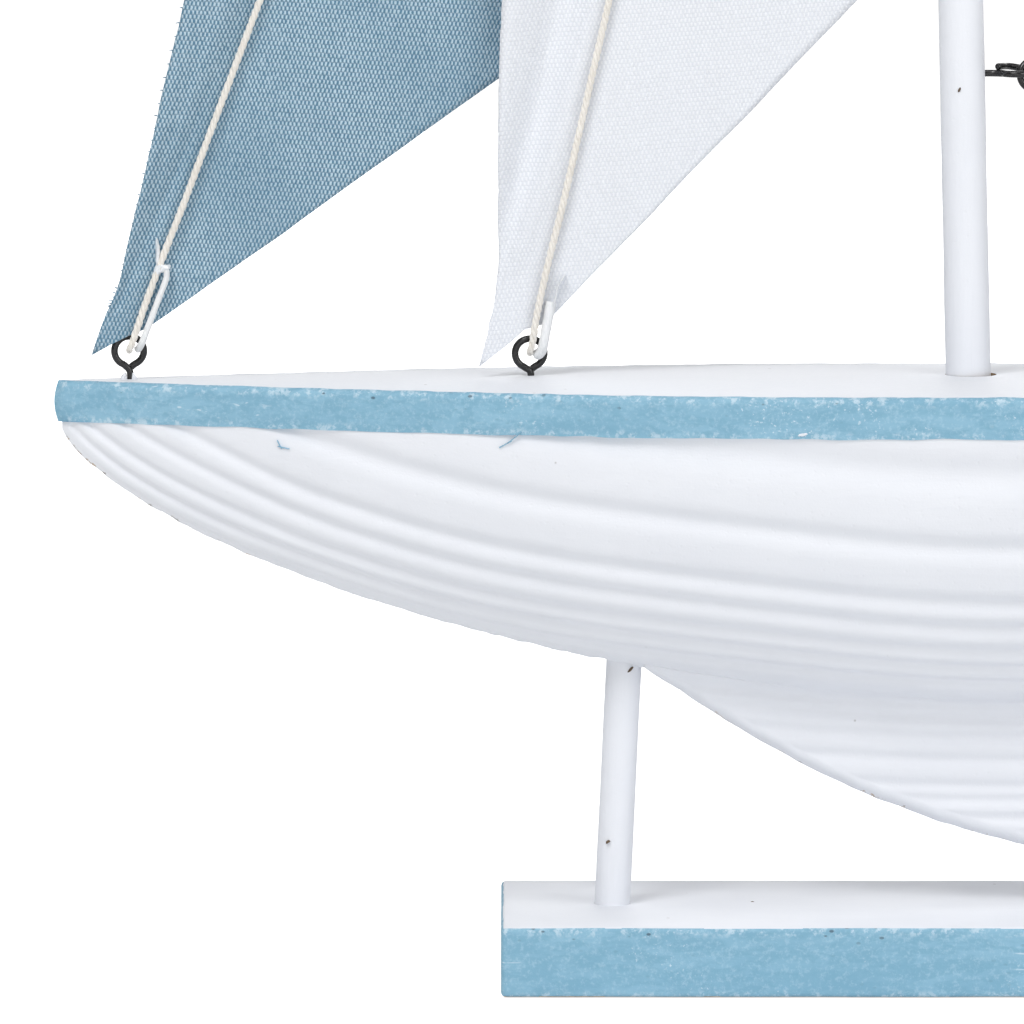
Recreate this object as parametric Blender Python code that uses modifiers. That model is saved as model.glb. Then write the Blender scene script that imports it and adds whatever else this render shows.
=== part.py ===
"""A painted wooden display sailboat on a two-post stand, about 320 mm long and 460 mm high.

The boat lies along X with its bow at -X, stands on the XY plane and is centred on the origin.
Every length is in metres. A grooved hull with a separate keel fin carries a flat deck board;
a dowel mast stands in the hull, two headsails hang on cotton stays, and the mainsail and its
boom swing on a pair of linked eye screws.
"""

import math

import bmesh
import bpy
from mathutils import Matrix, Vector

GAP = 0.0003  # clearance between pieces that touch

# Stand
BASE_LENGTH = 0.169
BASE_WIDTH = 0.056
BASE_THICKNESS = 0.012
BASE_EDGE = 0.0008
POST_RADIUS = 0.0031
POST_FOOT_X = 0.0654  # where a post's axis leaves the base, fore and aft of the middle
POST_HEAD_X = 0.0634  # where it meets the hull
POST_HEAD_Z = 0.0545
POST_SOCKET = 0.008  # how far a post goes into the base and into the hull

# Hull
HULL_LENGTH = 0.320
HALF_BEAM = 0.0313
DECK_EDGE_Z = 0.1023  # top of the deck board at its edge
BOARD_THICKNESS = 0.0070
DECK_CROWN = 0.001
HULL_BOTTOM_Z = 0.0466  # underside of the hull amidships, without the keel
ENTRY_LENGTH = 0.140  # from the bow to the full beam
BOW_HALF = 0.0012  # half width of the stem, whose tip is rounded over BOW_NOSE
BOW_NOSE = 0.003
TRANSOM_BEAM_LOSS = 0.50
TRANSOM_DEPTH_LOSS = 0.75
STATIONS = 30
SIDE_POINTS = 12

# Keel fin
KEEL_FRONT_X = -0.058
KEEL_BACK_X = 0.0570
KEEL_LOW_Z = 0.0196
KEEL_FLAT = (0.028, 0.038)  # the fin's lowest stretch
KEEL_ROOT_HALF = 0.0045
KEEL_TIP_HALF = 0.0030
KEEL_SEAM = 0.0006  # between the fin and the hull, which the paint covers

# Mast and boom
MAST_RADIUS = 0.0039
MAST_FOOT_X = -0.0047  # the mast's axis where it leaves the deck
MAST_FOOT_Z = 0.1033
MAST_STEP_Z = 0.082
MAST_TOP_Z = 0.455
MAST_RAKE = math.radians(1.4)  # the masthead leans towards the bow
BOOM_RADIUS = 0.0025
BOOM_Z = 0.1545
BOOM_X = (0.0122, 0.1080)

# Eye screws, bent from wire
WIRE_RADIUS = 0.0006
EYE_RADIUS = 0.0025  # of the ring, at the middle of its wire
EYE_SHANK = 0.0065
EYE_SHANK_SHORT = 0.0030
MAST_STEM = 0.0021  # bare stem between the mast and a ring

# Rigging and sails
CORD_RADIUS = 0.0007
IN_FRONT = Vector((0, -0.0016, 0))  # from the middle of a ring to the cord beside it
CLOTH = 0.0006
JIB_SWING = math.radians(8)

BOW_EYE = Vector((-0.1480, 0, 0.1027))
FORE_EYE = Vector((-0.0796, 0, 0.1031))
JIB_HEAD_Z = 0.4418
STAYSAIL_HEAD_Z = 0.3719
GOOSENECK_Z = 0.1548
MAIN_HEAD_Z = 0.4250
BOOM_END_EYE_X = 0.1045

HALF_LENGTH = HULL_LENGTH / 2
BOARD_BOTTOM_Z = DECK_EDGE_Z - BOARD_THICKNESS
HULL_TOP_Z = BOARD_BOTTOM_Z - GAP
MAST_AXIS = Vector((-math.sin(MAST_RAKE), 0, math.cos(MAST_RAKE)))


# ---------------------------------------------------------------- shape of the hull

def half_beam(x):
    """Half the width of the deck at x."""
    if x > 0:
        return HALF_BEAM * (1 - TRANSOM_BEAM_LOSS * (x / HALF_LENGTH) ** 2.3)
    s = x + HALF_LENGTH
    entry = math.sin(min(1.0, s / ENTRY_LENGTH) * math.pi / 2)
    nose = 1 - min(s, BOW_NOSE) / BOW_NOSE
    return (HALF_BEAM - BOW_HALF) * entry + BOW_HALF * math.sqrt(max(0.0, 1 - nose ** 2))


def hull_bottom(x):
    """Height of the hull's underside on the centre line, without the keel."""
    depth = BOARD_BOTTOM_Z - HULL_BOTTOM_Z
    if x > 0:
        return BOARD_BOTTOM_Z - depth * (1 - TRANSOM_DEPTH_LOSS * (x / HALF_LENGTH) ** 2.4)
    u = max(0.0, (x + HALF_LENGTH) / HALF_LENGTH)
    return BOARD_BOTTOM_Z - depth * (1 - (1 - u) ** 1.7) ** 0.65


def fullness(x):
    """Exponent of the section's curve: 2 is an ellipse, and less is more like a V."""
    return 2.0 if x > 0 else 2.0 - 0.5 * (x / HALF_LENGTH) ** 2


def section_breadth(x, t):
    """Half breadth at a share t of the way down from the deck's edge to the keel line."""
    return half_beam(x) * max(0.0, 1 - t * t) ** (1 / fullness(x))


def hull_height(x, y):
    """Height of the hull's underside at a distance y from the centre line."""
    t = math.sqrt(1 - min(1.0, y / half_beam(x)) ** fullness(x))
    return DECK_EDGE_Z - t * (DECK_EDGE_Z - hull_bottom(x))


def keel_edge(x):
    """Height of the keel fin's lower edge."""
    low, high = KEEL_FLAT
    if x < low:
        return KEEL_LOW_Z + 0.0342 * (1 - (x + 0.061) / 0.089) ** 1.9
    if x > high:
        return KEEL_LOW_Z + 0.0292 * ((x - high) / (KEEL_BACK_X - high)) ** 1.5
    return KEEL_LOW_Z


def mast_point(z, out=0.0):
    """A point beside the mast's axis at height z, moved by out along X."""
    return Vector((MAST_FOOT_X - math.tan(MAST_RAKE) * (z - MAST_FOOT_Z) + out, 0, z))


# ---------------------------------------------------------------- Blender helpers

def start_scene():
    for obj in list(bpy.data.objects):
        bpy.data.objects.remove(obj)
    made = []
    for name in ("display_sailboat", "cutters"):
        collection = bpy.data.collections.new(name)
        bpy.context.scene.collection.children.link(collection)
        made.append(collection)
    made[1].hide_render = True
    return made


def paint(name, colour, roughness, metallic=0.0):
    material = bpy.data.materials.new(name)
    material.use_nodes = True
    shader = material.node_tree.nodes["Principled BSDF"]
    shader.inputs["Base Color"].default_value = (*colour, 1)
    shader.inputs["Roughness"].default_value = roughness
    shader.inputs["Metallic"].default_value = metallic
    return material


def put_in(obj, collection):
    for old in list(obj.users_collection):
        old.objects.unlink(obj)
    collection.objects.link(obj)


def finish_part(obj, material):
    put_in(obj, PARTS)
    obj.data.materials.append(material)
    if obj.type == "MESH":
        obj.data.shade_smooth()
        obj.data.set_sharp_from_angle(angle=math.radians(35))
    return obj


def mesh_object(name, bm):
    bmesh.ops.recalc_face_normals(bm, faces=bm.faces)
    mesh = bpy.data.meshes.new(name)
    bm.to_mesh(mesh)
    bm.free()
    obj = bpy.data.objects.new(name, mesh)
    bpy.context.scene.collection.objects.link(obj)
    return obj


def half_loft(name, sections, material):
    """A solid lofted through half sections that start and end on the centre plane, and mirrored."""
    bm = bmesh.new()
    rows = [[bm.verts.new(point) for point in section] for section in sections]
    for row, following in zip(rows, rows[1:]):
        for i in range(len(row) - 1):
            bm.faces.new((row[i], row[i + 1], following[i + 1], following[i]))
    bm.faces.new(rows[0])
    bm.faces.new(rows[-1])
    obj = mesh_object(name, bm)
    mirror = obj.modifiers.new("both_sides", "MIRROR")
    mirror.use_axis = (False, True, False)
    mirror.merge_threshold = 0.00002
    return finish_part(obj, material)


def dowel(name, radius, start, end, material=None, sides=32, bevel=0.0):
    """A round rod between two points; without a material it is a cutter."""
    start, end = Vector(start), Vector(end)
    bpy.ops.mesh.primitive_cylinder_add(
        vertices=sides, radius=radius, depth=(end - start).length, location=(start + end) / 2
    )
    obj = bpy.context.object
    obj.name = name
    obj.rotation_mode = "QUATERNION"
    obj.rotation_quaternion = (end - start).to_track_quat("Z", "Y")
    if material is None:
        put_in(obj, CUTTERS)
        obj.hide_render = True
        obj.display_type = "WIRE"
        return obj
    if bevel:
        rounding = obj.modifiers.new("rounded_ends", "BEVEL")
        rounding.width = bevel
        rounding.segments = 2
        rounding.limit_method = "ANGLE"
    return finish_part(obj, material)


def cut(obj, *cutters):
    for cutter in cutters:
        boolean = obj.modifiers.new("cut_" + cutter.name, "BOOLEAN")
        boolean.operation = "DIFFERENCE"
        boolean.object = cutter


def tube(name, points, radius, material, taper=None):
    """A round wire or cord along straight steps; taper gives the radius at single points."""
    curve = bpy.data.curves.new(name, "CURVE")
    curve.dimensions = "3D"
    curve.bevel_depth = radius
    curve.bevel_resolution = 2
    curve.use_fill_caps = True
    spline = curve.splines.new("POLY")
    spline.points.add(len(points) - 1)
    for place, point in zip(spline.points, points):
        place.co = (*point, 1)
    for index, share in (taper or {}).items():
        spline.points[index].radius = share
    obj = bpy.data.objects.new(name, curve)
    bpy.context.scene.collection.objects.link(obj)
    return finish_part(obj, material)


# ---------------------------------------------------------------- stand

def make_base(material):
    bpy.ops.mesh.primitive_cube_add(size=1, location=(0, 0, BASE_THICKNESS / 2))
    base = bpy.context.object
    base.name = "base_block"
    base.scale = (BASE_LENGTH, BASE_WIDTH, BASE_THICKNESS)
    bpy.ops.object.transform_apply(location=False, rotation=False, scale=True)
    edge = base.modifiers.new("worn_edges", "BEVEL")
    edge.width = BASE_EDGE
    edge.segments = 2
    return finish_part(base, material)


def post_line(side, down, up):
    """Two points on a post's axis: down below the base's top and up above the hull's underside."""
    foot = Vector((side * POST_FOOT_X, 0, BASE_THICKNESS))
    head = Vector((side * POST_HEAD_X, 0, POST_HEAD_Z))
    axis = (head - foot).normalized()
    return foot - axis * down, head + axis * up


def make_posts(base, hull, material):
    for name, side in (("front_post", -1), ("rear_post", 1)):
        dowel(name, POST_RADIUS, *post_line(side, POST_SOCKET, POST_SOCKET), material, bevel=0.0003)
        deep = POST_SOCKET + GAP
        hole = dowel(name + "_sockets", POST_RADIUS + GAP, *post_line(side, deep, deep))
        cut(base, hole)
        cut(hull, hole)


# ---------------------------------------------------------------- hull, keel and deck

def station_x(i, count, first, last):
    """Stations bunched towards both ends."""
    return first + (last - first) * (1 - math.cos(math.pi * i / count)) / 2


def make_hull(material):
    sections = []
    for i in range(STATIONS + 1):
        x = station_x(i, STATIONS, 0.0004 - HALF_LENGTH, HALF_LENGTH - 0.0004)
        depth = DECK_EDGE_Z - hull_bottom(x)
        top = math.asin((DECK_EDGE_Z - HULL_TOP_Z) / depth)
        section = [(x, 0, HULL_TOP_Z)]
        for j in range(SIDE_POINTS + 1):
            t = math.sin(top + (math.pi / 2 - top) * j / SIDE_POINTS)
            last = j == SIDE_POINTS
            section.append((x, 0 if last else section_breadth(x, t), DECK_EDGE_Z - t * depth))
        sections.append(section)
    return half_loft("hull", sections, material)


def make_keel(material):
    sections = []
    count = 18
    for i in range(count + 1):
        x = station_x(i, count, KEEL_FRONT_X, KEEL_BACK_X)
        low = keel_edge(x)
        root = hull_height(x, KEEL_ROOT_HALF) - KEEL_SEAM
        share = (root - low) / (HULL_BOTTOM_Z - KEEL_LOW_Z)
        tip = KEEL_ROOT_HALF + (KEEL_TIP_HALF - KEEL_ROOT_HALF) * min(1.0, share)
        rounding = min(0.001, 0.4 * (root - low))
        sections.append([
            (x, 0, hull_bottom(x) - KEEL_SEAM),
            (x, KEEL_ROOT_HALF, root),
            (x, tip, low + rounding),
            (x, tip - 0.001, low),
            (x, 0, low),
        ])
    return half_loft("keel_fin", sections, material)


def make_deck_board(material):
    sections = []
    for i in range(STATIONS + 1):
        x = station_x(i, STATIONS, 0.0002 - HALF_LENGTH, HALF_LENGTH)
        b = half_beam(x)
        crown = DECK_CROWN * b / HALF_BEAM
        edge = min(0.0010, b / 2)
        section = [(x, 0, BOARD_BOTTOM_Z), (x, b - edge / 2, BOARD_BOTTOM_Z)]
        section.append((x, b, BOARD_BOTTOM_Z + edge / 2))
        section.append((x, b, DECK_EDGE_Z - edge))
        section.append((x, b - edge * 0.3, DECK_EDGE_Z - edge * 0.3))
        for share in (1.0, 0.66, 0.33, 0.0):
            y = (b - edge) * share
            section.append((x, y, DECK_EDGE_Z + crown * (1 - share ** 2)))
        sections.append(section)
    return half_loft("deck_board", sections, material)


# ---------------------------------------------------------------- mast, boom and eye screws

def eye_screw(name, foot, out, material, stem=0.0, shank=EYE_SHANK, across=(1, 0, 0)):
    """A screw eye whose ring lies in the plane of out and across, standing stem above foot."""
    out = Vector(out).normalized()
    across = Vector(across)
    across = (across - out * across.dot(out)).normalized()
    behind = out.cross(across)
    centre = stem + WIRE_RADIUS + EYE_RADIUS
    local = [(0, 0, -shank), (0, 0, -shank * 0.6), (0, 0, stem * 0.5 - 0.0001)]
    steps = 15
    for i in range(steps + 1):
        angle = math.radians(236 - 290 * i / steps)
        drift = 0.0013 * max(0.0, i / steps - 0.60) / 0.40
        local.append((EYE_RADIUS * math.cos(angle), drift, centre + EYE_RADIUS * math.sin(angle)))
    points = [Vector(foot) + across * a + behind * b + out * c for a, b, c in local]
    return tube(name, points, WIRE_RADIUS, material, taper={0: 0.25})


def screw_in(target, foot, out, shank=EYE_SHANK, name="pilot"):
    """Drills the hole that an eye screw's shank stands in."""
    out = Vector(out).normalized()
    foot = Vector(foot)
    radius = WIRE_RADIUS + GAP
    hole = dowel(name, radius, foot - out * (shank + GAP), foot + out * 0.004, sides=12)
    cut(target, hole)


def ring_centre(foot, out, stem):
    return Vector(foot) + Vector(out).normalized() * (stem + WIRE_RADIUS + EYE_RADIUS)


def make_mast(hull, board, material):
    foot, top = mast_point(MAST_STEP_Z), mast_point(MAST_TOP_Z)
    mast = dowel("mast", MAST_RADIUS, foot, top, material, bevel=0.0005)
    step = dowel("mast_step", MAST_RADIUS + GAP, foot - MAST_AXIS * GAP, top)
    cut(hull, step)
    cut(board, step)
    return mast


def make_boom(material):
    start, end = (Vector((x, 0, BOOM_Z)) for x in BOOM_X)
    return dowel("boom", BOOM_RADIUS, start, end, material, sides=24, bevel=0.0004)


def make_eyes(board, mast, boom, material):
    """Screws in every eye and returns the middle of each ring."""
    aft, forward = MAST_RADIUS, -MAST_RADIUS
    boom_top = Vector((BOOM_END_EYE_X, 0, BOOM_Z + BOOM_RADIUS))
    plans = (
        ("bow_eye", board, BOW_EYE, (0, 0, 1), 0.0015, EYE_SHANK, (1, 0, 0)),
        ("fore_deck_eye", board, FORE_EYE, (0, 0, 1), 0.0007, EYE_SHANK, (1, 0, 0)),
        ("jib_head_eye", mast, mast_point(JIB_HEAD_Z, forward), (-1, 0, 0), MAST_STEM,
         EYE_SHANK_SHORT, (0, 0, 1)),
        ("staysail_head_eye", mast, mast_point(STAYSAIL_HEAD_Z, forward), (-1, 0, 0), MAST_STEM,
         EYE_SHANK_SHORT, (0, 0, 1)),
        ("mainsail_head_eye", mast, mast_point(MAIN_HEAD_Z, aft), (1, 0, 0), MAST_STEM,
         EYE_SHANK_SHORT, (0, 1, 0)),
        ("mast_gooseneck_eye", mast, mast_point(GOOSENECK_Z, aft), (1, 0, 0), MAST_STEM + 0.0002,
         EYE_SHANK_SHORT, (0, 1, 0)),
        ("boom_gooseneck_eye", boom, Vector((BOOM_X[0], 0, BOOM_Z)), (-1, 0, 0), 0.0027,
         0.0060, (0, 0, 1)),
        ("boom_end_eye", boom, boom_top, (0, 0, 1), 0.0004, EYE_SHANK_SHORT, (1, 0, 0)),
    )
    centres = {}
    for name, wood, foot, out, stem, shank, across in plans:
        eye_screw(name, foot, out, material, stem, shank, across)
        screw_in(wood, foot, out, shank, name + "_pilot")
        centres[name] = ring_centre(foot, out, stem)
    return centres


# ---------------------------------------------------------------- rigging and sails

def cord_turn(ring, along):
    """The end of a cord: out of a ring's hole and round into the line along, in front of it."""
    shares = ((-0.25, 0.0), (0.55, 0.00014), (0.9, 0.00054), (1.0, 0.00144))
    return [ring + IN_FRONT * share + along * reach for share, reach in shares]


def stretch(name, low, high, material, through=False):
    """A cord between two rings. It turns into the upper ring's hole like the lower one's, or
    comes up through it from below."""
    along = (high - low).normalized()
    points = cord_turn(low, along)
    end = [high + along * 0.0025] if through else cord_turn(high, -along)[::-1]
    steps = 6
    points += [points[-1].lerp(end[0], i / steps) for i in range(1, steps)]
    return tube(name, points + end, CORD_RADIUS, material)


def edge_curve(start, end, bulge, count):
    """Points from start to end, pushed out by bulge at the middle, along the first coordinate."""
    made = []
    for i in range(count + 1):
        share = i / count
        u = start[0] + (end[0] - start[0]) * share
        w = start[1] + (end[1] - start[1]) * share
        made.append((u + bulge * math.sin(math.pi * share), w))
    return made


def sail(name, outline, low, high, swing, material):
    """A flat cloth hung behind the cord from low to high. The outline's first number is the
    distance aft of the cord's line, and its second the distance up along it."""
    along = (high - low).normalized()
    aft = Vector((along.z, 0, -along.x)).normalized()
    frame = Matrix((aft, along, aft.cross(along))).transposed().to_4x4()
    hinge = bpy.data.objects.new(name + "_hinge", None)
    PARTS.objects.link(hinge)
    hinge.matrix_world = Matrix.Translation(low) @ Matrix.Rotation(swing, 4, along) @ frame
    curve = bpy.data.curves.new(name, "CURVE")
    curve.dimensions = "2D"
    curve.fill_mode = "BOTH"
    curve.extrude = CLOTH / 2
    spline = curve.splines.new("POLY")
    spline.points.add(len(outline) - 1)
    for place, (u, w) in zip(spline.points, outline):
        place.co = (u, w, 0, 1)
    spline.use_cyclic_u = True
    obj = bpy.data.objects.new(name, curve)
    bpy.context.scene.collection.objects.link(obj)
    obj.parent = hinge
    obj.location = (0, 0, -(CORD_RADIUS + GAP + CLOTH / 2))
    return finish_part(obj, material)


def headsail_outline(luff_length, rate, swell, bottom, clew, head, hollow):
    """The luff with its flap ahead of the stay, the leech back down to the clew, and the bottom
    edge forward to the tack. Rate is the flap's width at the ends, and swell what it adds."""
    luff = []
    count = 12
    start = 0.0095
    for i in range(count + 1):
        w = start + (luff_length - start) * i / count
        luff.append((-(rate + swell * math.sin(math.pi * w / luff_length)), w))
    return luff + edge_curve(head, clew, -hollow, 8) + bottom


def make_headsails(rings, blue_cloth, white_cloth):
    low, high = rings["bow_eye"] + IN_FRONT, rings["jib_head_eye"] + IN_FRONT
    bottom = [(0.0018, 0.0054), (-0.0015, 0.0036), (-0.0036, 0.0012), (-0.0052, -0.0018)]
    outline = headsail_outline(
        0.332, 0.004, 0.0155, bottom, (0.0514, 0.0782), (0.0012, 0.332), 0.003
    )
    sail("jib", outline, low, high, JIB_SWING, blue_cloth)

    low, high = rings["fore_deck_eye"] + IN_FRONT, rings["staysail_head_eye"] + IN_FRONT
    bottom = [(0.0014, 0.0055), (-0.0018, 0.0038), (-0.0042, 0.0008), (-0.0078, -0.0028)]
    outline = headsail_outline(
        0.240, 0.005, 0.0187, bottom, (0.0462, 0.0792), (0.0012, 0.240), 0.002
    )
    sail("staysail", outline, low, high, 0.0, white_cloth)


def make_mainsail(rings, white_cloth):
    """The mainsail is laid out from its leech cord, which the cloth lies behind."""
    low, high = rings["boom_end_eye"] + IN_FRONT, rings["mainsail_head_eye"]
    along = (high - low).normalized()
    aft = Vector((along.z, 0, -along.x)).normalized()

    def place(x, z):
        reach = Vector((x, low.y, z)) - low
        return reach.dot(aft), reach.dot(along)

    foot_z = BOOM_Z + BOOM_RADIUS + 0.0030
    length = (high - low).length
    outline = [place(0.0130, foot_z), place(0.0985, foot_z + 0.0030)]
    outline += edge_curve((0.0025, 0.012), (0.0020, length - 0.012), 0.006, 10)
    outline.append(place(0.0035, high.z - 0.012))
    sail("mainsail", outline, low, high, 0.0, white_cloth)


def main():
    white = paint("white_paint", (0.80, 0.82, 0.85), 0.55)
    blue = paint("blue_paint", (0.24, 0.46, 0.60), 0.55)
    black = paint("black_wire", (0.02, 0.02, 0.02), 0.35, 0.8)
    cotton = paint("cotton_cord", (0.80, 0.74, 0.64), 0.9)
    blue_cloth = paint("blue_cloth", (0.24, 0.40, 0.50), 0.9)
    white_cloth = paint("white_cloth", (0.80, 0.82, 0.86), 0.9)

    base = make_base(blue)
    hull = make_hull(white)
    make_keel(white)
    board = make_deck_board(blue)
    make_posts(base, hull, white)
    mast = make_mast(hull, board, white)
    boom = make_boom(white)
    rings = make_eyes(board, mast, boom, black)
    stretch("jib_stay", rings["bow_eye"], rings["jib_head_eye"], cotton)
    stretch("staysail_stay", rings["fore_deck_eye"], rings["staysail_head_eye"], cotton)
    stretch("leech_cord", rings["boom_end_eye"], rings["mainsail_head_eye"], cotton, through=True)
    make_headsails(rings, blue_cloth, white_cloth)
    make_mainsail(rings, white_cloth)


PARTS, CUTTERS = start_scene()
main()
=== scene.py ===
"""The looks of a painted wooden display sailboat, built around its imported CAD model.

Every position is in the row frame, in metres: bow at -X, port side (which the camera sees) at -Y.
"""

import math

import bmesh
import bpy
import numpy as np
from mathutils import Matrix, Vector, noise


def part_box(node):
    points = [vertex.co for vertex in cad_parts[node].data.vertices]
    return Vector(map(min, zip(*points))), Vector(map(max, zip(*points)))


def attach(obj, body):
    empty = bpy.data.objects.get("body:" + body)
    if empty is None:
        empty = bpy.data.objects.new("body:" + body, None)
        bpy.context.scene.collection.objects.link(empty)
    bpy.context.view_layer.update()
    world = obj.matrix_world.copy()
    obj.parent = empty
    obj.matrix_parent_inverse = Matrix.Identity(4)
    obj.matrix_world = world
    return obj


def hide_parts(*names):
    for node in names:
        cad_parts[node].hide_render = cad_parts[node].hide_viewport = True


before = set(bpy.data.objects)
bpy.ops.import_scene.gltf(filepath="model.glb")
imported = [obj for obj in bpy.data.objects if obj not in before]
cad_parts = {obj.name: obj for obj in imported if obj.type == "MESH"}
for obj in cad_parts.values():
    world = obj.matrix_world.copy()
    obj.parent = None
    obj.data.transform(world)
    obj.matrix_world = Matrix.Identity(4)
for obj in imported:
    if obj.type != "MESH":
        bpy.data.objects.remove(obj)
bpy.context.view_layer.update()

MM = 0.001
HULL_BODY = "boat_and_stand"
BOOM_BODY = "boom_and_mainsail"

# Hull, as the CAD model has it
HALF_LENGTH = 0.160
HALF_BEAM = 0.0313
ENTRY_LENGTH = 0.140
BOW_HALF = 0.0012
BOW_NOSE = 0.003
TRANSOM_BEAM_LOSS = 0.50
TRANSOM_DEPTH_LOSS = 0.75
DECK_EDGE_Z = 0.1023
BOARD_BOTTOM_Z = 0.0953
DECK_CROWN = 0.001
HULL_BOTTOM_Z = 0.0466
# Each groove's height above the hull's bottom line, half width and depth, amidships and in mm
HULL_GROOVES = (
    (4.8, 1.30, 0.80), (7.8, 1.20, 0.80), (10.9, 1.30, 0.85), (15.2, 1.40, 0.90),
    (19.7, 1.55, 0.95), (29.5, 2.00, 1.05), (42.4, 3.20, 1.10),
)

# Keel fin
KEEL_X = (-0.0600, 0.0570)
KEEL_LOW_Z = 0.0196
KEEL_FLAT = (0.028, 0.038)
KEEL_ROOT_HALF = 0.0045
KEEL_TIP_HALF = 0.0030
KEEL_GROOVES = (-0.4, 2.1, 5.6, 9.5, 14.0, 16.4, 19.5, 22.6, 25.2)  # mm below the same line

# Mast and rigging
MAST_RADIUS = 0.0039
MAST_FOOT = Vector((-0.0047, 0, 0.1033))
MAST_RAKE = math.radians(1.4)
MAST_TOP_Z = 0.455
MAST_STEP_Z = 0.082
POST_RADIUS = 0.0031
WIRE = 0.0006
RING = 0.0025
STEM = 0.0021
BOW_EYE = Vector((-0.1480, 0, 0.1027))
FORE_EYE = Vector((-0.0796, 0, 0.1031))
JIB_HEAD_Z = 0.4418
STAYSAIL_HEAD_Z = 0.3719
MAIN_HEAD_Z = 0.4250
GOOSENECK_Z = 0.1548
BOOM_Z = 0.1545
BOOM_X = (0.0122, 0.1080)
BOOM_RADIUS = 0.0025
BOOM_END_EYE_X = 0.1045
IN_FRONT = Vector((0, -0.0016, 0))  # from the middle of a ring to the cord beside it
CORD_PULL = 0.0002  # how far the jib's knot draws its cord forward
CLOTH_BEHIND = 0.0013  # from a cord to the sail behind it
CLOTH_THICKNESS = 0.00042
JIB_SWING = math.radians(8)
JIB_LENGTH = 0.332
JIB_LUFF = (0.004, 0.0155)  # how far the luff lies ahead of the cord at its ends, and more between
STAYSAIL_LENGTH = 0.240
LUFF_START = 0.0095  # where a headsail's curved luff begins, above its tack
FRAYED = 0.00022
BREEZE = 0.6
SETTLE_FRAMES = 24
MOST_BILLOW = 0.0022
CORD_RADIUS = 0.00062
CORD_PITCH = 0.0040


# ---- shapes shared with the CAD model

def half_beam(x):
    if x > 0:
        return HALF_BEAM * (1 - TRANSOM_BEAM_LOSS * (x / HALF_LENGTH) ** 2.3)
    s = x + HALF_LENGTH
    entry = math.sin(min(1.0, s / ENTRY_LENGTH) * math.pi / 2)
    nose = 1 - min(s, BOW_NOSE) / BOW_NOSE
    return (HALF_BEAM - BOW_HALF) * entry + BOW_HALF * math.sqrt(max(0.0, 1 - nose ** 2))


def hull_bottom(x):
    depth = BOARD_BOTTOM_Z - HULL_BOTTOM_Z
    if x > 0:
        return BOARD_BOTTOM_Z - depth * (1 - TRANSOM_DEPTH_LOSS * (x / HALF_LENGTH) ** 2.4)
    u = max(0.0, (x + HALF_LENGTH) / HALF_LENGTH)
    return BOARD_BOTTOM_Z - depth * (1 - (1 - u) ** 1.7) ** 0.65


def fullness(x):
    return 2.0 if x > 0 else 2.0 - 0.5 * (x / HALF_LENGTH) ** 2


def hull_section(x, t):
    """Half breadth and height at a share t of the way down from the deck's edge."""
    breadth = half_beam(x) * max(0.0, 1 - t * t) ** (1 / fullness(x))
    return breadth, DECK_EDGE_Z - t * (DECK_EDGE_Z - hull_bottom(x))


def keel_edge(x):
    low, high = KEEL_FLAT
    if x < low:
        return KEEL_LOW_Z + 0.0342 * (1 - (x + 0.061) / 0.089) ** 1.9
    if x > high:
        return KEEL_LOW_Z + 0.0292 * ((x - high) / (KEEL_X[1] - high)) ** 1.5
    return KEEL_LOW_Z


def mast_point(z, out=0.0):
    return Vector((MAST_FOOT.x - math.tan(MAST_RAKE) * (z - MAST_FOOT.z) + out, 0, z))


UP, SIDE, AFT = Vector((0, 0, 1)), Vector((0, 1, 0)), Vector((1, 0, 0))
LONG_SHANK = 0.0065
SHORT_SHANK = 0.003
# Each eye screw's foot, the way it points, its bare stem, shank, the way its ring lies, and its body
EYES = {
    "bow_eye": (BOW_EYE, UP, 0.0015, LONG_SHANK, AFT, HULL_BODY),
    "fore_deck_eye": (FORE_EYE, UP, 0.0007, LONG_SHANK, AFT, HULL_BODY),
    "jib_head_eye": (mast_point(JIB_HEAD_Z, -MAST_RADIUS), -AFT, STEM, SHORT_SHANK, UP, HULL_BODY),
    "staysail_head_eye": (mast_point(STAYSAIL_HEAD_Z, -MAST_RADIUS), -AFT, STEM, SHORT_SHANK, UP,
                          HULL_BODY),
    "mainsail_head_eye": (mast_point(MAIN_HEAD_Z, MAST_RADIUS), AFT, STEM, SHORT_SHANK, SIDE,
                          HULL_BODY),
    "mast_gooseneck_eye": (mast_point(GOOSENECK_Z, MAST_RADIUS), AFT, STEM + 0.0002, SHORT_SHANK,
                           SIDE, HULL_BODY),
    "boom_gooseneck_eye": (Vector((BOOM_X[0], 0, BOOM_Z)), -AFT, 0.0027, 0.006, UP, BOOM_BODY),
    "boom_end_eye": (Vector((BOOM_END_EYE_X, 0, BOOM_Z + BOOM_RADIUS)), UP, 0.0004, SHORT_SHANK,
                     AFT, BOOM_BODY),
}
RINGS = {node: foot + out * (stem + WIRE + RING) for node, (foot, out, stem, *_) in EYES.items()}


# ---- small tools

def wave(point, size, seed=0.0):
    """Smooth noise from -1 to 1, with features about size across."""
    shift = Vector((seed * 7.31, seed * 3.17, seed * 5.73))
    return noise.noise(Vector(point) / size + shift)


def smooth(low, high, value):
    t = min(1.0, max(0.0, (value - low) / (high - low)))
    return t * t * (3 - 2 * t)


def strake_height(x, height):
    """The height amidships, in mm, of the strake line that passes this point of the hull."""
    lower = 3.7 * smooth(0.030, 0.122, abs(x))
    spread = 0.15 * smooth(0.116, 0.142, abs(x))
    return (height * 1000 + lower + 11 * spread) / (1 + spread)


def groove(distance, half_width, depth):
    return depth * math.exp(-(distance / half_width) ** 2)


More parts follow.
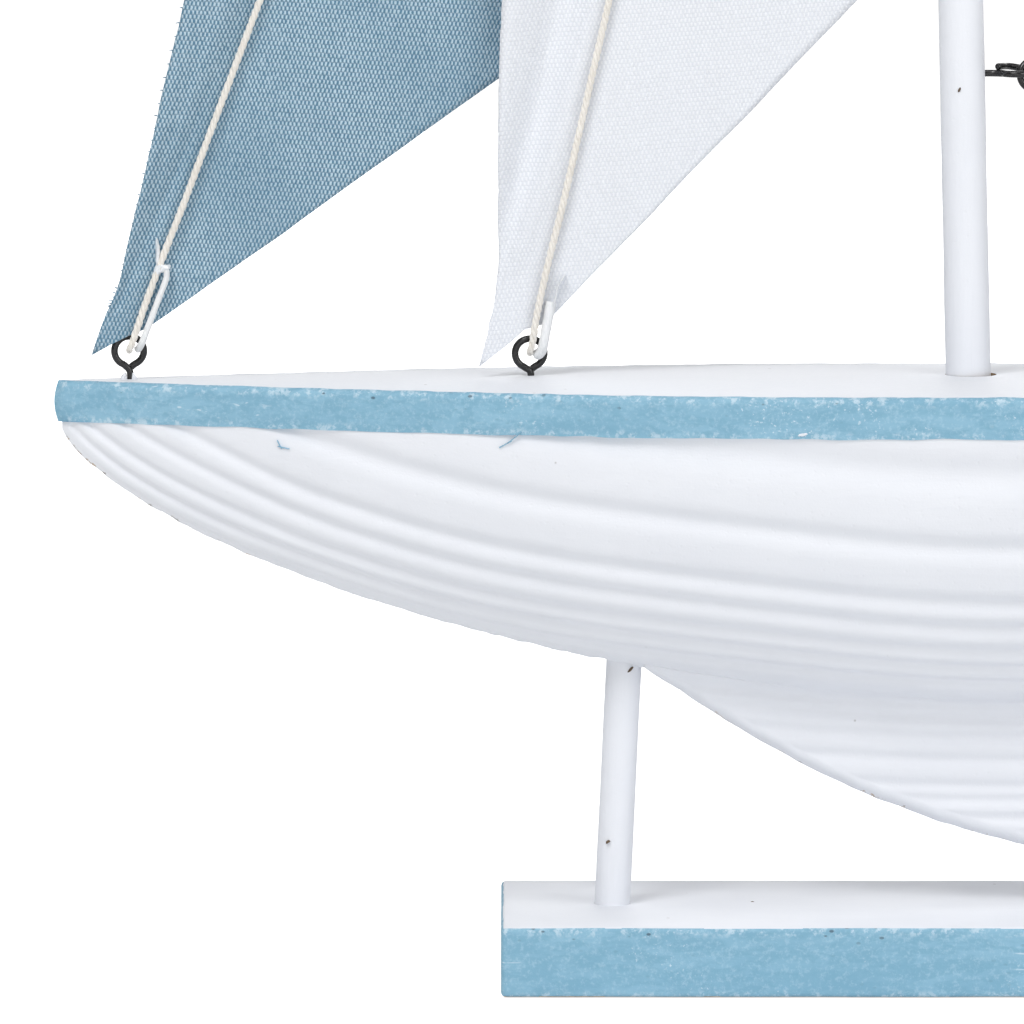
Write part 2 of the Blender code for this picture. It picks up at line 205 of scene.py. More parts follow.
def build(name, points, faces, body, materials, replaces=(), wear=None, sharp=40):
    """A mesh piece that rides on a body and may stand for CAD nodes.

    Its paint reads the attribute wear: how worn each point of the hull and keel is, and how many
    mm each point of the deck's top lies in from the edge.
    """
    mesh = bpy.data.meshes.new(name)
    mesh.from_pydata([tuple(p) for p in points], [], faces)
    work = bmesh.new()
    work.from_mesh(mesh)
    bmesh.ops.recalc_face_normals(work, faces=work.faces)
    work.to_mesh(mesh)
    work.free()
    for material in materials:
        mesh.materials.append(material)
    if wear is not None:
        layer = mesh.attributes.new("wear", "FLOAT", "POINT")
        layer.data.foreach_set("value", [float(w) for w in wear])
    mesh.shade_smooth()
    mesh.set_sharp_from_angle(angle=math.radians(sharp))
    obj = bpy.data.objects.new(name, mesh)
    bpy.context.scene.collection.objects.link(obj)
    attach(obj, body)
    if replaces:
        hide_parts(*replaces)
    return obj


def grid_faces(rows, columns, around=False):
    """Quads between neighbouring rows of points; around joins each row's end to its start."""
    faces = []
    for i in range(rows - 1):
        for j in range(columns if around else columns - 1):
            k = (j + 1) % columns
            faces.append((i * columns + j, i * columns + k, (i + 1) * columns + k,
                          (i + 1) * columns + j))
    return faces


def end_caps(rings, count):
    last = (rings - 1) * count
    return [tuple(range(count)), tuple(range(last, last + count))]


def skin_faces(rings, count):
    """Faces of a closed skin of rings of count points, each ring closed across its own ends."""
    faces = grid_faces(rings, count)
    for i in range(rings - 1):
        a, b = i * count, (i + 1) * count
        faces.append((a, a + count - 1, b + count - 1, b))
    return faces + end_caps(rings, count)


def both_sides(line):
    """A line on the starboard side, which ends on the centre plane, with its mirror image."""
    return [Vector((p.x, -p.y, p.z)) for p in line[:-1]] + line[::-1]


def frames_along(points):
    """A tangent and two sideways directions at each point, with no twist between them."""
    tangents = []
    for i in range(len(points)):
        ahead, behind = points[min(i + 1, len(points) - 1)], points[max(i - 1, 0)]
        tangents.append((ahead - behind).normalized())
    side = tangents[0].orthogonal().normalized()
    frames = []
    for tangent in tangents:
        side = (side - tangent * side.dot(tangent)).normalized()
        frames.append((tangent, side, tangent.cross(side)))
    return frames


def tube(points, radii, sides):
    """Points and faces of a closed tube with rounded ends."""
    made = []
    for point, radius, (_, side, up) in zip(points, radii, frames_along(points)):
        for j in range(sides):
            angle = 2 * math.pi * j / sides
            made.append(point + (side * math.cos(angle) + up * math.sin(angle)) * radius)
    faces = grid_faces(len(points), sides, around=True) + end_caps(len(points), sides)
    return made, faces


def joined(parts):
    """Several lots of points and faces as one."""
    points, faces = [], []
    for some_points, some_faces in parts:
        start = len(points)
        points += list(some_points)
        faces += [tuple(i + start for i in face) for face in some_faces]
    return points, faces


def build_parts(name, parts, body, material):
    points, faces = joined(parts)
    return build(name, points, faces, body, [material], ())


def curve_through(points, per_span):
    """A smooth curve through the points (Catmull-Rom)."""
    made = []
    for i in range(len(points) - 1):
        before, a, b = points[max(i - 1, 0)], points[i], points[i + 1]
        after = points[min(i + 2, len(points) - 1)]
        for j in range(per_span):
            t = j / per_span
            made.append(0.5 * ((2 * a) + (b - before) * t
                               + (2 * before - 5 * a + 4 * b - after) * t ** 2
                               + (3 * a - before - 3 * b + after) * t ** 3))
    made.append(points[-1].copy())
    return made


def even_steps(points, step):
    """The same line with a point about every step."""
    lengths = [0.0]
    for a, b in zip(points, points[1:]):
        lengths.append(lengths[-1] + (b - a).length)
    count = max(2, round(lengths[-1] / step))
    made, k = [], 0
    for i in range(count + 1):
        want = lengths[-1] * i / count
        while k < len(points) - 2 and lengths[k + 1] < want:
            k += 1
        share = (want - lengths[k]) / max(1e-9, lengths[k + 1] - lengths[k])
        made.append(points[k].lerp(points[k + 1], share))
    return made


# ---- materials

class Look:
    """A material's node tree, with a short call for each kind of node."""

    def __init__(self, name, **settings):
        self.material = bpy.data.materials.new(name)
        self.material.use_nodes = True
        self.tree = self.material.node_tree
        self.shader = self.tree.nodes["Principled BSDF"]
        for key, value in settings.items():
            self.shader.inputs[key.replace("_", " ")].default_value = value
        self.place = self.tree.nodes.new("ShaderNodeTexCoord").outputs["Object"]

    def put(self, target, value):
        if hasattr(value, "is_linked"):
            self.tree.links.new(value, target)
        elif hasattr(value, "__len__") and len(value) == 3 and target.type == "RGBA":
            target.default_value = (*value, 1)
        else:
            target.default_value = value

    def node(self, kind, inputs=(), **settings):
        made = self.tree.nodes.new("ShaderNode" + kind)
        for key, value in settings.items():
            setattr(made, key, value)
        for key, value in dict(inputs).items():
            self.put(made.inputs[key], value)
        return made

    def turned(self, turn=(0, 0, 0), scale=(1, 1, 1), shift=(0, 0, 0)):
        inputs = {"Vector": self.place, "Rotation": turn, "Scale": scale, "Location": shift}
        return self.node("Mapping", inputs).outputs[0]

    def noise(self, scale, detail=3.0, roughness=0.55, where=None, distortion=0.0):
        inputs = {"Vector": where or self.place, "Scale": scale, "Detail": detail,
                  "Roughness": roughness, "Distortion": distortion}
        return self.node("TexNoise", inputs).outputs["Fac"]

    def cells(self, scale, where=None):
        inputs = {"Vector": where or self.place, "Scale": scale}
        return self.node("TexVoronoi", inputs).outputs["Distance"]

    def math(self, operation, a, b=0.0):
        made = self.node("Math", operation=operation)
        self.put(made.inputs[0], a)
        self.put(made.inputs[1], b)
        return made.outputs[0]

    def times(self, a, b):
        return self.math("MULTIPLY", a, b)

    def plus(self, a, b):
        return self.math("ADD", a, b)

    def minus(self, a, b):
        return self.math("SUBTRACT", a, b)

    def fade(self, value, low, high, to_low=0.0, to_high=1.0):
        inputs = {"Value": value, "From Min": low, "From Max": high, "To Min": to_low,
                  "To Max": to_high}
        return self.node("MapRange", inputs, interpolation_type="SMOOTHSTEP").outputs[0]

    def mix(self, factor, a, b):
        made = self.node("Mix", data_type="RGBA")
        self.put(made.inputs[0], factor)
        self.put(made.inputs[6], a)
        self.put(made.inputs[7], b)
        return made.outputs[2]

    def xyz(self):
        return self.node("SeparateXYZ", {"Vector": self.place}).outputs

    def attribute(self, name):
        return self.node("Attribute", attribute_name=name).outputs["Fac"]

    def colour(self, value):
        self.put(self.shader.inputs["Base Color"], value)

    def rough(self, value):
        self.put(self.shader.inputs["Roughness"], value)

    def bumps(self, *layers):
        """Layers are (height, distance); each is stacked on the one before."""
        normal = None
        for height, distance in layers:
            inputs = {"Height": height, "Distance": distance, "Strength": 1.0}
            if normal:
                inputs["Normal"] = normal
            normal = self.node("Bump", inputs).outputs[0]
        self.put(self.shader.inputs["Normal"], normal)
        return self.material


WHITE = (0.782, 0.801, 0.845)
WHITE_SHADE = (0.726, 0.747, 0.798)
WOOD = (0.46, 0.31, 0.18)
WOOD_GREY = (0.27, 0.25, 0.24)
BLUE = (0.248, 0.462, 0.602)
BLUE_DEEP = (0.178, 0.376, 0.512)
BLUE_PALE = (0.400, 0.590, 0.700)
INK = (0.060, 0.100, 0.140)


def white_coat(look, grain_along="X"):
    """Matt white brushed on wood, with a faint grain and specks: its colour and its grain."""
    stretch = {"X": (0.12, 1, 1), "Z": (1, 1, 0.10)}[grain_along]
    grain = look.noise(900, 4, 0.6, look.turned(scale=stretch))
    mottle = look.noise(55, 3)
    colour = look.mix(look.fade(mottle, 0.35, 0.70, 0.0, 0.22), WHITE, WHITE_SHADE)
    colour = look.mix(look.fade(grain, 0.52, 0.80, 0.0, 0.30), colour, WHITE_SHADE)
    speck = look.fade(look.cells(210), 0.045, 0.075, 1.0, 0.0)
    speck = look.times(speck, look.fade(look.noise(70, 2), 0.60, 0.66))
    return look.mix(look.times(speck, 0.55), colour, WOOD_GREY), grain


def white_paint(name, grain_along="X", wear=False):
    """The white coat, with pinholes and, where its edges are worn, chips down to the wood."""
    look = Look(name, Roughness=0.62)
    colour, grain = white_coat(look, grain_along)
    pits = look.fade(look.cells(620), 0.05, 0.22)
    if wear:
        patches = look.times(look.noise(95, 2, 0.5), 0.5)
        chips = look.plus(look.attribute("wear"), look.times(look.noise(560, 4, 0.7), 1.1))
        chips = look.plus(chips, patches)
        bare = look.fade(chips, 1.50, 1.60)
        tone = look.mix(look.fade(look.noise(260, 2), 0.4, 0.6), WOOD, WOOD_GREY)
        colour = look.mix(look.times(bare, 0.8), colour, tone)
    look.colour(colour)
    look.rough(look.fade(look.noise(55, 3), 0.2, 0.8, 0.54, 0.70))
    return look.bumps((grain, 0.00005), (look.noise(2600, 3, 0.6), 0.00003), (pits, 0.00002))


def blue_paint(name, top_z, bottom_z, white_inside=False):
    """Thin light-blue paint: cloudy, with pale flecks, scratches and dark pits near its edges."""
    look = Look(name, Roughness=0.55)
    z = look.xyz()[2]
    clouds = look.noise(80, 5, 0.62, look.turned(scale=(0.25, 1, 1.6)), 0.3)
    colour = look.mix(look.fade(clouds, 0.30, 0.66, 0.25, 1.0), BLUE_DEEP, BLUE)
    brush = look.noise(520, 3, 0.65, look.turned(scale=(0.30, 1, 1)), 0.5)
    colour = look.mix(look.fade(brush, 0.40, 0.60, 0.0, 0.75), colour, BLUE_DEEP)
    fine = look.noise(1300, 4, 0.75)
    colour = look.mix(look.fade(fine, 0.48, 0.66, 0.0, 0.42), colour, BLUE_PALE)
    fleck = look.times(look.fade(look.noise(1500, 3, 0.75), 0.59, 0.68),
                      look.fade(look.noise(75, 3), 0.48, 0.60))
    fleck = look.times(fleck, look.fade(look.xyz()[0], -0.120, -0.050, 0.25, 1.0))
    colour = look.mix(look.times(fleck, 0.75), colour, (0.66, 0.76, 0.82))
    near_top = look.fade(z, top_z - 0.0022, top_z - 0.0004)
    near_low = look.fade(z, bottom_z + 0.0004, bottom_z + 0.0016, 1.0, 0.0)
    edge = look.math("MAXIMUM", near_top, look.times(near_low, 0.8))
    worn = look.times(edge, look.fade(look.noise(620, 4, 0.7), 0.50, 0.64))
    colour = look.mix(look.times(worn, 0.65), colour, (0.62, 0.74, 0.81))
    streak = look.fade(look.noise(1000, 2, 0.5, look.turned((0, 0.12, 0), (0.06, 1, 1))), 0.66, 0.71)
    streak = look.times(streak, look.fade(look.noise(50, 2), 0.52, 0.64))
    colour = look.mix(look.times(streak, 0.55), colour, (0.68, 0.78, 0.84))
    pit = look.fade(look.cells(640, look.turned(scale=(0.6, 1, 1))), 0.11, 0.19, 1.0, 0.0)
    pit_here = look.times(pit, look.fade(look.noise(120, 2), 0.50, 0.58))
    pit_here = look.times(pit_here, look.fade(z, top_z - 0.0036, top_z - 0.0010, 0.15, 1.0))
    colour = look.mix(look.times(pit_here, 0.75), colour, INK)
    if white_inside:
        ragged = look.times(look.noise(420, 3, 0.6), 0.9)
        line = look.minus(look.attribute("wear"), ragged)
        white, _ = white_coat(look)
        colour = look.mix(look.fade(line, 0.62, 0.74), colour, white)
    look.colour(colour)
    look.rough(look.fade(fine, 0.3, 0.7, 0.45, 0.68))
    return look.bumps((clouds, 0.00012), (fine, 0.00006), (look.fade(pit_here, 0, 1, 1, 0), 0.00008))


def raw_wood(name, shade=1.0):
    look = Look(name, Roughness=0.8)
    rings = look.noise(700, 4, 0.6, look.turned(scale=(1, 1, 0.12)))
    pale = tuple(shade * c for c in (0.50, 0.34, 0.20))
    look.colour(look.mix(look.fade(rings, 0.35, 0.65), pale, tuple(0.6 * c for c in pale)))
    return look.bumps((rings, 0.0001))


def black_wire():
    """Black steel wire with a thin coat that has scuffed through in places."""
    look = Look("black_wire", Roughness=0.25, Coat_Weight=0.2)
    scuff = look.noise(1100, 4, 0.65)
    look.colour(look.mix(look.fade(scuff, 0.56, 0.74), (0.003, 0.003, 0.004), (0.018, 0.018, 0.020)))
    look.rough(look.fade(scuff, 0.3, 0.8, 0.16, 0.42))
    return look.bumps((look.noise(1800, 3), 0.00004))


def cotton(name, base, dark):
    look = Look(name, Roughness=0.93, Sheen_Weight=0.3)
    fibre = look.noise(5200, 4, 0.7, look.turned((0, 0.35, 0), (1, 1, 0.16)))
    mottle = look.noise(240, 3)
    colour = look.mix(look.fade(fibre, 0.40, 0.66), base, dark)
    look.colour(look.mix(look.fade(mottle, 0.45, 0.70, 0.0, 0.4), colour, dark))
    return look.bumps((fibre, 0.00012))


def cloth(name, light, dark, gap_shade_colour, turn_column, turn_row, depth):
    """Coarse plain weave: thin yarns up, thick yarns across, so its knots stand like bricks."""
    look = Look(name, Roughness=0.88, Sheen_Weight=0.15)
    x, _, z = look.xyz()
    warp_pitch, weft_pitch = 0.000343, 0.000753
    wobble = look.times(look.minus(look.noise(260, 2), 0.5), 0.00022)
    slub = look.times(look.minus(look.noise(1300, 2), 0.5), 0.00034)
    wobble = look.plus(wobble, slub)

    def phase(angle, first, second, pitch):
        a = look.times(first, math.cos(angle))
        b = look.times(second, math.sin(angle))
        along = look.plus(look.plus(a, b), wobble)
        return look.times(along, math.pi / pitch)

    columns = phase(turn_column, x, z, warp_pitch)
    rows = phase(turn_row, z, x, weft_pitch)
    over = look.times(look.math("SINE", columns), look.math("SINE", rows))
    knots = look.fade(over, -0.15, 0.85)
    warp = look.math("ABSOLUTE", look.math("SINE", columns))
    weft = look.math("ABSOLUTE", look.math("SINE", rows))
    body = look.times(look.fade(weft, 0.0, 0.55, 0.35, 1.0), look.fade(warp, 0.0, 0.5, 0.7, 1.0))
    uneven = look.noise(1400, 3, 0.7)
    height = look.plus(look.times(knots, 0.75), look.times(body, 0.45))
    height = look.plus(height, look.times(uneven, 0.35))
    # Painted shade of the weave's relief: the raised knots are coloured light and the hollows between
    # them dark, mixed with random tone from the uneven noise.
    tone = look.plus(over, look.times(look.minus(uneven, 0.5), 1.5))
    colour = look.mix(look.fade(tone, -0.65, 0.75), dark, light)
    # Painted shade in the gaps between the yarns: where neither a knot nor a yarn's body stands, the
    # colour is darkened.
    painted_gap_shade = look.times(look.fade(body, 0.30, 0.55, 1.0, 0.0), look.fade(knots, 0.0, 0.5, 1.0, 0.0))
    colour = look.mix(look.times(painted_gap_shade, 0.65), colour, gap_shade_colour)
    tone = look.noise(34, 3)
    colour = look.mix(look.fade(tone, 0.40, 0.68, 0.0, 0.22), colour, dark)
    look.colour(colour)
    return look.bumps((height, depth))


def dried_glue():
    """A smear of clear-white glue."""
    look = Look("dried_glue", Roughness=0.35, Coat_Weight=0.25)
    cloud = look.noise(600, 3)
    look.colour(look.mix(look.fade(cloud, 0.4, 0.65), (0.86, 0.88, 0.90), (0.76, 0.79, 0.82)))
    return look.bumps((look.noise(900, 3), 0.00012))


# ---- wooden pieces

def hull_section_line(x, rows):
    """One side's section as carved, from its top down to the centre plane."""
    bottom = hull_bottom(x)
    depth = DECK_EDGE_Z - bottom
    start = math.asin(min(1.0, (DECK_EDGE_Z - BOARD_BOTTOM_Z - 0.0004) / depth))
    angles = [start + (math.pi / 2 - start) * j / rows for j in range(rows + 1)]
    plain = [Vector((x, *hull_section(x, math.sin(angle)))) for angle in angles]
    plain[-1].y = 0.0
    run, heights = [0.0], []
    for a, b in zip(plain, plain[1:]):
        run.append(run[-1] + (b - a).length * 1000)
    for p in plain:
        wobble = 0.45 * wave((x, 0, p.z), 0.045, 1)
        heights.append(strake_height(x, p.z - bottom) + wobble)
    lines = [np.interp(g[0], heights[::-1], run[::-1], left=1e3) for g in HULL_GROOVES]
    lines = [at - max(0.0, g[0] - heights[0]) * 1.1 for at, g in zip(lines, HULL_GROOVES)]
    fine = 0.72 + 0.28 * smooth(0.150, 0.110, abs(x))
    line = []
    for j, p in enumerate(plain):
        along = plain[min(j + 1, rows)] - plain[max(j - 1, 0)]
        normal = Vector((0, -along.z, along.y))
        normal = normal.normalized() if normal.length > 1e-9 else Vector((0, 0, -1))
        back = 0.0
        for at, (_, half_width, cut) in zip(lines, HULL_GROOVES):
            back += groove(run[j] - at, half_width * fine, cut * fine)
        back *= smooth(0.0, 0.0025, p.y) * MM
        low = smooth(0.0030, 0.0004, p.z - bottom)
        back += 0.00010 - 0.00009 * wave(p, 0.011, 2) - 0.00004 * wave(p, 0.0030, 3)
        spot = p - normal * back
        spot.z += low * (0.00010 + 0.00024 * wave(p, 0.0034, 4) + 0.00014 * wave(p, 0.0012, 5))
        if j == rows:
            spot.y = 0.0
        line.append(spot)
    return line


def make_hull(paint):
    """The carved hull, with grooves that sweep up towards its ends."""
    columns, rows = 420, 190
    half = []
    for i in range(columns + 1):
        share = i / columns
        bunched = share - 0.10 * math.sin(2 * math.pi * share) / (2 * math.pi)
        half.append(hull_section_line(0.0005 - HALF_LENGTH + (2 * HALF_LENGTH - 0.001) * bunched, rows))
    points, wear = [], []
    for line in half:
        ring = both_sides(line)
        points += ring
        for p in ring:
            low = smooth(0.0022, 0.0002, p.z - hull_bottom(p.x))
            wear.append(low * (0.45 + 0.22 * smooth(-0.100, -0.145, p.x)))
    faces = skin_faces(columns + 1, 2 * rows + 1)
    return build("carved_hull", points, faces, HULL_BODY, [paint], ["hull"], wear)


def make_keel(paint):
    """The fin, with grooves like the hull's, drawn up into it so that the paint hides the seam."""
    columns, rows, low_rows = 190, 96, 12
    points, wear = [], []
    for i in range(columns + 1):
        share = i / columns
        x = KEEL_X[0] + (KEEL_X[1] - KEEL_X[0]) * share
        low = keel_edge(x) + 0.00026 * wave((x, 0, 0), 0.0036, 6) + 0.0001
        root = hull_bottom(x) + 0.0022
        side = []
        height = max(0.0004, root - low)
        rounding = min(0.0026, 0.5 * height)
        for j in range(rows + 1):
            z = root + (low + rounding - root) * j / rows
            drop = hull_bottom(x) - z
            share_down = min(1.0, max(0.0, drop / (HULL_BOTTOM_Z - KEEL_LOW_Z)))
            y = KEEL_ROOT_HALF + (KEEL_TIP_HALF - KEEL_ROOT_HALF) * share_down
            y += 0.0016 * math.exp(-max(0.0, drop + 0.0012) / 0.0012)
            spot = Vector((x, y, z))
            level = HULL_BOTTOM_Z + 0.6 * (hull_bottom(x) - HULL_BOTTOM_Z) - z
            level = level * 1000 + 0.35 * wave(spot, 0.040, 7)
            cut = sum(groove(level - line, 1.05, 0.62) for line in KEEL_GROOVES)
            y -= cut * MM * smooth(0.0, 0.003, z - low)
            y += 0.00008 * wave(spot, 0.009, 8) + 0.00004 * wave(spot, 0.0028, 9)
            side.append(Vector((x, max(0.0006, y), z)))
        tip = side[-1].y
        for j in range(1, low_rows + 1):
            angle = math.pi / 2 * j / low_rows
            spot = Vector((x, tip * math.cos(angle), low + rounding * (1 - math.sin(angle))))
            spot.z += 0.00014 * abs(wave(spot, 0.0017, 10))
            side.append(spot)
        side[-1].y = 0.0
        ring = both_sides(side)
        points += ring
        wear += [smooth(0.0022, 0.0004, p.z - low) * 0.62 for p in ring]
    faces = skin_faces(columns + 1, 2 * (rows + low_rows) + 1)
    return build("carved_keel_fin", points, faces, HULL_BODY, [paint], ["keel_fin"],
                 wear)


def make_deck(paint, wood):
    """The deck board: a blue band round a white top, with the mast's hole drilled a little large."""
    columns = 420
    points, inward = [], []
    for i in range(columns + 1):
        x = 0.0002 - HALF_LENGTH + (2 * HALF_LENGTH - 0.0002) * i / columns
        b = half_beam(x)
        crown = DECK_CROWN * b / HALF_BEAM
        edge = min(0.0009, b / 2)
        half = [(0.0, BOARD_BOTTOM_Z), (b * 0.5, BOARD_BOTTOM_Z), (b * 0.9, BOARD_BOTTOM_Z)]
        for k in range(9):
            share = k / 8
            z = BOARD_BOTTOM_Z + (DECK_EDGE_Z - edge - BOARD_BOTTOM_Z) * share
            z += (1 - share) ** 4 * 0.00022 * wave((x, 0, 0), 0.0050, 17)
            dent = 0.00016 * wave((x, 0, z), 0.0060, 11) + 0.00007 * wave((x, 0, z), 0.0020, 12)
            flush, _ = hull_section(x, max(0.0, (DECK_EDGE_Z - z) / (DECK_EDGE_Z - hull_bottom(x))))
            half.append((max(0.0003, min(b - 0.00004, flush + 0.00006) + dent * share), z))
        ragged = 0.00014 * wave((x, 0, 0), 0.0035, 13)
        half.append((b - edge * 0.35, DECK_EDGE_Z - edge * 0.38 + ragged * 0.5))
        half.append((b - edge * 0.95, DECK_EDGE_Z + ragged))
        for k in range(1, 15):
            share = 1 - k / 14
            y = (b - edge) * share
            lift = 0.00009 * wave((x, y, 0), 0.014, 14)
            half.append((y, DECK_EDGE_Z + crown * (1 - share ** 2) + lift))
        half[-1] = (0.0, half[-1][1])
        for k in range(len(half)):
            y, z = half[k]
            bulge = 1 - ((z - 0.0987) / 0.0042) ** 2
            half[k] = (x - 0.0010 * max(0.0, bulge) * smooth(-0.1545, -0.1598, x), y, z)
        ring = [Vector((px, -y, z)) for px, y, z in half]
        ring += [Vector((px, y, z)) for px, y, z in half[-2:0:-1]]
        count = len(ring)
        points += ring
        for p in ring:
            on_top = p.z > DECK_EDGE_Z - 0.0003
            inward.append((b - abs(p.y)) * 1000 + (p.y > 0) * 0.6 if on_top else -1.0)
    faces = grid_faces(columns + 1, count, around=True) + end_caps(columns + 1, count)
    deck = build("deck", points, faces, HULL_BODY, [paint, wood], ["deck_board"],
                 inward)
    hole = bpy.data.meshes.new("mast_hole")
    work = bmesh.new()
    spot = Matrix.Translation(MAST_FOOT + Vector((0.00045, 0, -0.0006)))
    bmesh.ops.create_cone(work, cap_ends=True, segments=48, radius1=MAST_RADIUS + 0.00040,
                          radius2=MAST_RADIUS + 0.00052, depth=0.0036, matrix=spot)
    work.to_mesh(hole)
    work.free()
    hole.materials.append(wood)
    cutter = bpy.data.objects.new("mast_hole", hole)
    bpy.context.scene.collection.objects.link(cutter)
    cut = deck.modifiers.new("mast_hole", "BOOLEAN")
    cut.operation = "DIFFERENCE"
    cut.solver = "EXACT"
    cut.object = cutter
    cut.material_mode = "TRANSFER"
    bpy.context.view_layer.update()
    graph = bpy.context.evaluated_depsgraph_get()
    mesh = bpy.data.meshes.new_from_object(deck.evaluated_get(graph))
    deck.modifiers.clear()
    deck.data = mesh
    bpy.data.objects.remove(cutter)
    return deck


def axis_steps(half, radius, step):
    """Coordinates along one side of a rounded box, closer together in its rounded ends."""
    inner = half - radius
    count = max(2, round(2 * inner / step))
    ends = [half - radius * k for k in (0.0, 0.13, 0.35, 0.65)]
    middle = [-inner + 2 * inner * i / count for i in range(count + 1)]
    return [-e for e in ends] + middle + ends[::-1]


def make_base(side, top, wood):
    """The stand's board, with softened and chipped edges."""
    low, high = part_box("base_block")
    centre, half = (low + high) / 2, (high - low) / 2
    radius = 0.0009
    steps = [axis_steps(h, radius, s) for h, s in zip(half, (0.0028, 0.0028, 0.0017))]
    count = [len(s) for s in steps]
    index, points, faces = {}, [], []

    def corner(key):
        if key not in index:
            p = Vector([steps[a][key[a]] for a in range(3)])
            inner = Vector([max(-half[a] + radius, min(half[a] - radius, p[a])) for a in range(3)])
            away = p - inner
            if away.length > 1e-9:
                p = inner + away.normalized() * radius
            near_edge = sum(abs(p[a]) > half[a] - 0.0012 for a in range(3)) >= 2
            p *= 1 - (0.0018 if near_edge else 0.0007) * abs(wave(p, 0.0042, 15)) * 0.5
            p.z += 0.00006 * wave(p, 0.012, 16)
            index[key] = len(points)
            points.append(centre + p)
        return index[key]

    for axis in range(3):
        u, v = (axis + 1) % 3, (axis + 2) % 3
        for end in (0, count[axis] - 1):
            for i in range(count[u] - 1):
                for j in range(count[v] - 1):
                    quad = []
                    for di, dj in ((0, 0), (1, 0), (1, 1), (0, 1)):
                        key = [0, 0, 0]
                        key[axis], key[u], key[v] = end, i + di, j + dj
                        quad.append(corner(tuple(key)))
                    faces.append(tuple(quad))
    base = build("base_board", points, faces, HULL_BODY, [side, top, wood], ["base_block"])
    for face in base.data.polygons:
        if face.normal.z > 0.80:
            face.material_index = 1
        if face.normal.z < -0.80:
            face.material_index = 2
    return base


def dowel(name, start, end, radius, body, paint, nicks=(), replaces=(), sides=72, seed=0):
    """A turned rod, slightly uneven, with small nicks given as (share along, angle, size, depth)."""
    start, end = Vector(start), Vector(end)
    axis = end - start
    length = axis.length
    axis.normalize()
    side = Vector((0, 1, 0)).cross(axis).normalized()
    up = axis.cross(side)
    edge = 0.0005
    stations = [0.0, edge * 0.12, edge * 0.4, edge]
    count = max(4, round((length - 2 * edge) / 0.0016))
    stations += [edge + (length - 2 * edge) * i / count for i in range(1, count)]
    stations += [length - edge, length - edge * 0.4, length - edge * 0.12, length]
    points = []
    for along in stations:
        from_end = min(along, length - along)
        shrink = edge - math.sqrt(max(0.0, edge ** 2 - (edge - min(edge, from_end)) ** 2))
        for j in range(sides):
            angle = 2 * math.pi * j / sides
            out = side * math.cos(angle) + up * math.sin(angle)
            spot = start + axis * along + out * radius
            r = radius - shrink - 0.00005 + 0.00005 * wave(spot, 0.011, 20 + seed)
            for share, at, size, depth in nicks:
                far = math.hypot(along - share * length,
                                 radius * math.remainder(angle - at, 2 * math.pi))
                r -= depth * smooth(size, 0.0, far)
            points.append(start + axis * along + out * r)
    faces = grid_faces(len(stations), sides, around=True)
    last = (len(stations) - 1) * sides
    points += [start, end]
    for j in range(sides):
        k = (j + 1) % sides
        faces.append((j, k, len(points) - 2))
        faces.append((last + j, last + k, len(points) - 1))
    return build(name, points, faces, body, [paint], replaces)


def post_line(side):
    foot = Vector((side * 0.0654, 0, 0.012))
    head = Vector((side * 0.0634, 0, 0.0545))
    axis = (head - foot).normalized()
    return foot - axis * 0.0075, head + axis * 0.0075


# ---- eye screws

def eye_path(foot, out, stem, shank, across):
    """The wire of an eye screw: up its shank, round the ring and back across its own neck."""
    behind = out.cross(across)
    centre = stem + WIRE + RING
    neck = stem + WIRE
    local = [(0, 0, -shank), (0, 0, -shank * 0.5), (0.0002, 0, stem * 0.5)]
    local.append((-0.0007, 0, neck))
    turns = 14
    for i in range(turns + 1):
        angle = math.radians(232 - 284 * i / turns)
        drift = 0.0011 * smooth(0.40, 1.0, i / turns)
        local.append((RING * math.cos(angle), drift, centre + RING * math.sin(angle)))
    local.append((0.0007, 0.00115, neck))
    local.append((-0.0003, 0.00110, max(stem * 0.5, neck - 0.0009)))
    points = [foot + across * a + behind * b + out * c for a, b, c in local]
    return curve_through(points, 5)


def make_eye_screws(wire):
    for node, (*shape, body) in EYES.items():
        line = eye_path(*shape)
        radii = [WIRE] * len(line)
        radii[0] = WIRE * 0.2
        for i in range(1, 8):
            radii[i] = WIRE * (0.55 + 0.45 * i / 8)
        radii[-1] = WIRE * 0.75
        points, faces = tube(line, radii, 14)
        build(node + "_wire", points, faces, body, [wire], [node], sharp=50)


# ---- cords

def twisted(line, radius, pitch, seed=0):
    """Three plies laid round a line."""
    line = even_steps(line, pitch / 14)
    parts = []
    around = frames_along(line)
    run = 0.0
    turn = [0.0]
    for a, b in zip(line, line[1:]):
        run += (b - a).length
        turn.append(2 * math.pi * run / pitch)
    for ply in range(3):
        path = []
        for point, (_, side, up), angle in zip(line, around, turn):
            lay = -angle + 2 * math.pi * ply / 3
            loose = 1 + 0.10 * wave(point, 0.006, 30 + seed + ply)
            path.append(point + (side * math.cos(lay) + up * math.sin(lay)) * radius * 0.50 * loose)
        ends = 6
        radii = []
        for i, p in enumerate(path):
            close = min(i, len(path) - 1 - i, ends) / ends
            radii.append(radius * (0.35 + 0.19 * close) * (1 + 0.08 * wave(p, 0.003, 40 + seed)))
        parts.append(tube(path, radii, 8))
    return joined(parts)


def cord_end(ring, along):
    shares = ((-0.30, 0.0), (0.50, 0.00022), (0.92, 0.00080), (1.02, 0.0024))
    return [ring + IN_FRONT * share + along * reach for share, reach in shares]


